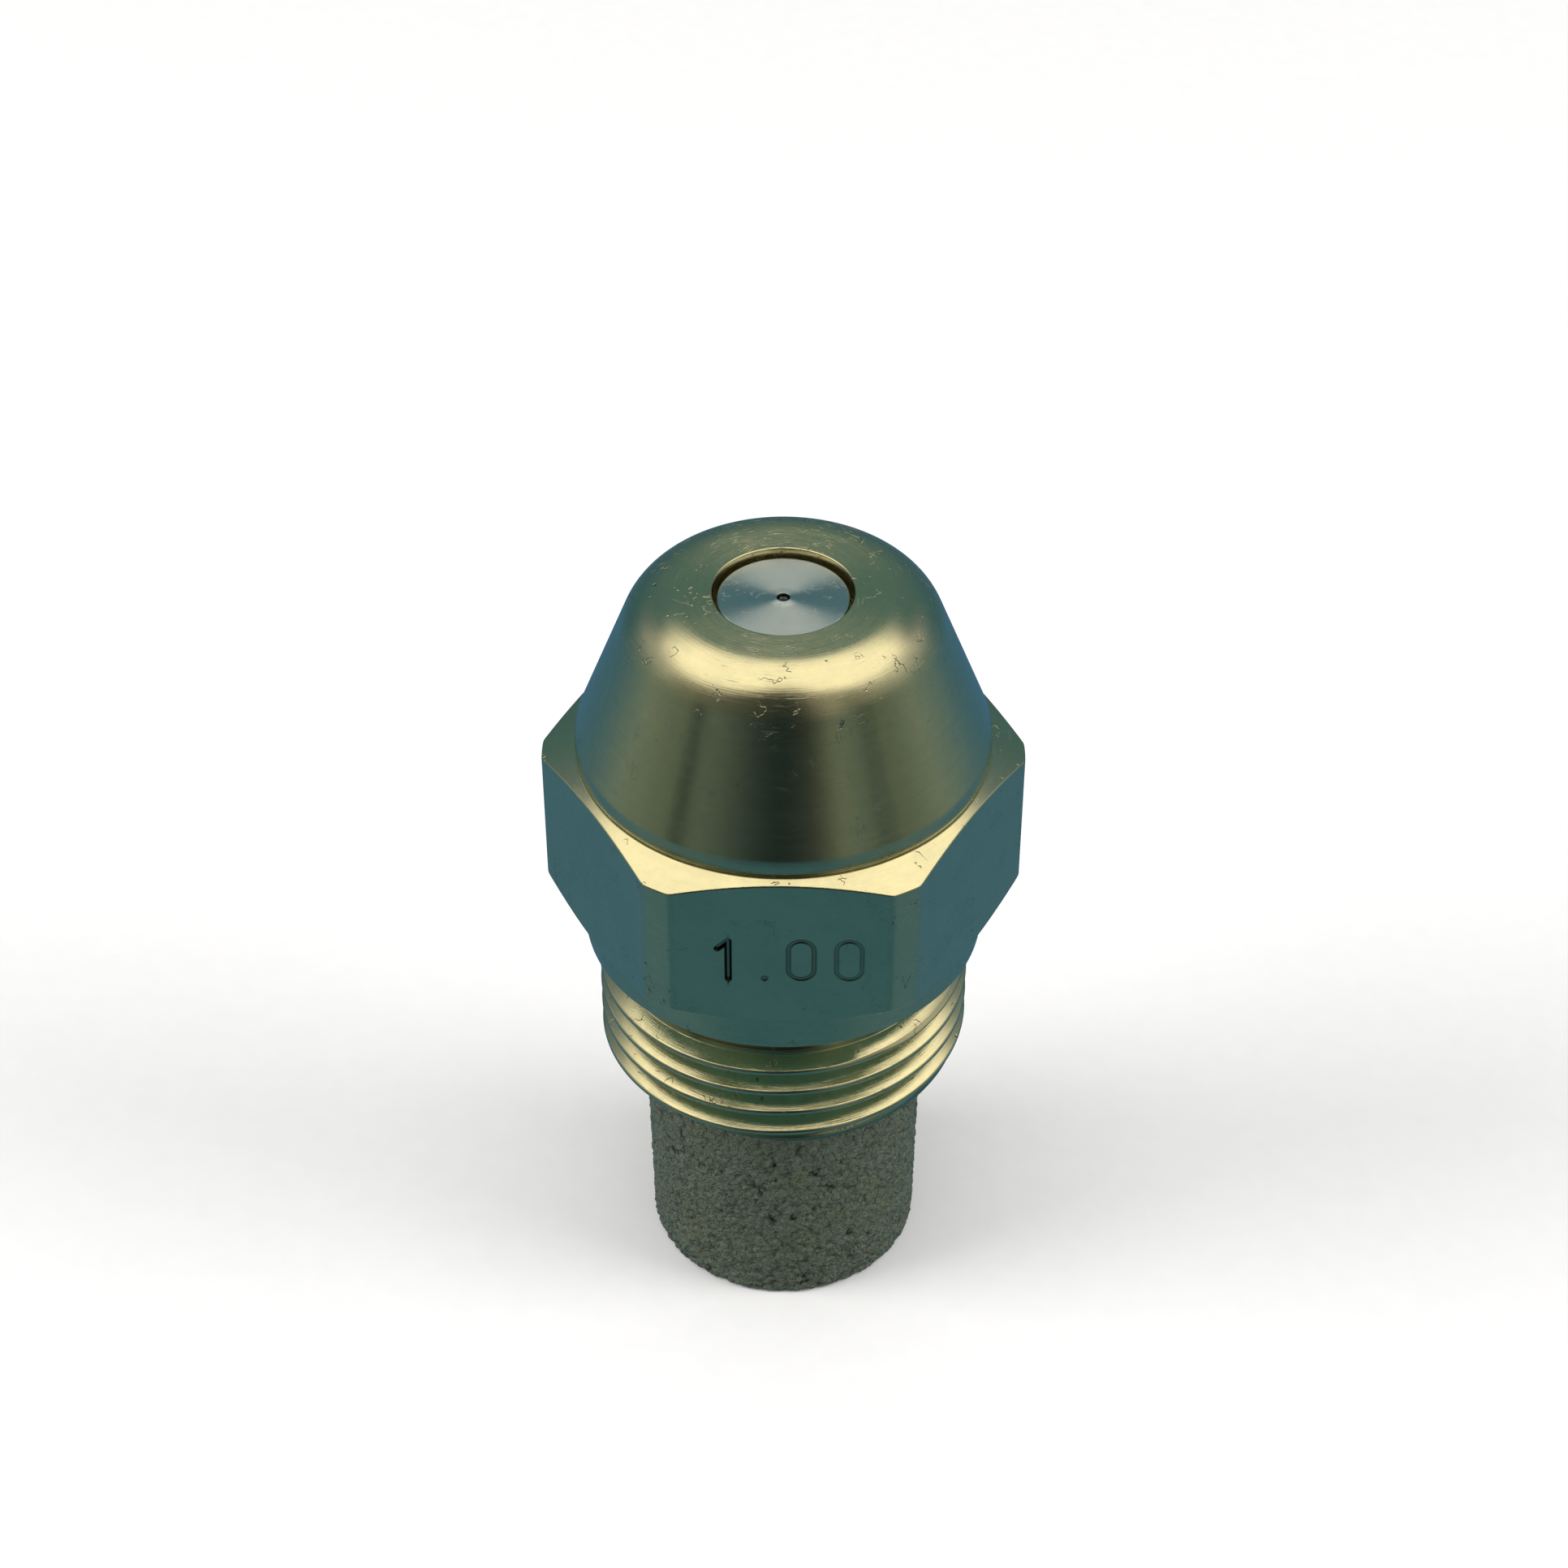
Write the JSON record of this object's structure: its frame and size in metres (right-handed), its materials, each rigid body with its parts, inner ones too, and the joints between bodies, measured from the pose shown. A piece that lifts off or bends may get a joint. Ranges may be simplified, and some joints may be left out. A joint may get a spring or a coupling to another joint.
{
  "type": "oil burner nozzle",
  "caption": "Brass hexagon oil burner nozzle with a conical head, a steel orifice disc, an external thread and a sintered bronze filter cup.",
  "frame": {"origin": "centre of the filter cup's flat bottom, on the surface the nozzle stands on", "axes": "+Z along the nozzle's axis towards the orifice; the stamped hexagon flat faces -Y"},
  "size_m": [0.0178, 0.016, 0.0314],
  "materials": {
    "body_brass": "turned and lightly tarnished, glossy flats",
    "disc_steel": "face turned in fine rings",
    "swirl_steel": "ground",
    "screw_brass": "turned, bright",
    "sintered_bronze": "porous sintered grains, dull"
  },
  "bodies": {
    "nozzle": {"nozzle_body": "body_brass"},
    "swirl_set": {"orifice_disc": "disc_steel", "swirl_cone": "swirl_steel"},
    "screw": {"lock_screw": "screw_brass"},
    "filter": {"filter_cup": "sintered_bronze"}
  },
  "joints": [
    {"name": "screw_advance", "type": "slide", "parent": "nozzle", "child": "swirl_set", "axis": [0, 0, -1], "range_m": [0, 0.004]},
    {"name": "screw_turn", "type": "hinge", "parent": "swirl_set", "child": "screw", "pos_m": [0, 0, 0.018], "axis": [0, 0, -1], "range_deg": [0, 1440]},
    {"name": "filter_pull", "type": "slide", "parent": "screw", "child": "filter", "axis": [0, 0, -1], "range_m": [0, 0.0046]}
  ],
  "couplings": [
    {"joint": "screw_advance", "follows": "screw_turn", "m_per_rad": 0.00015915}
  ]
}
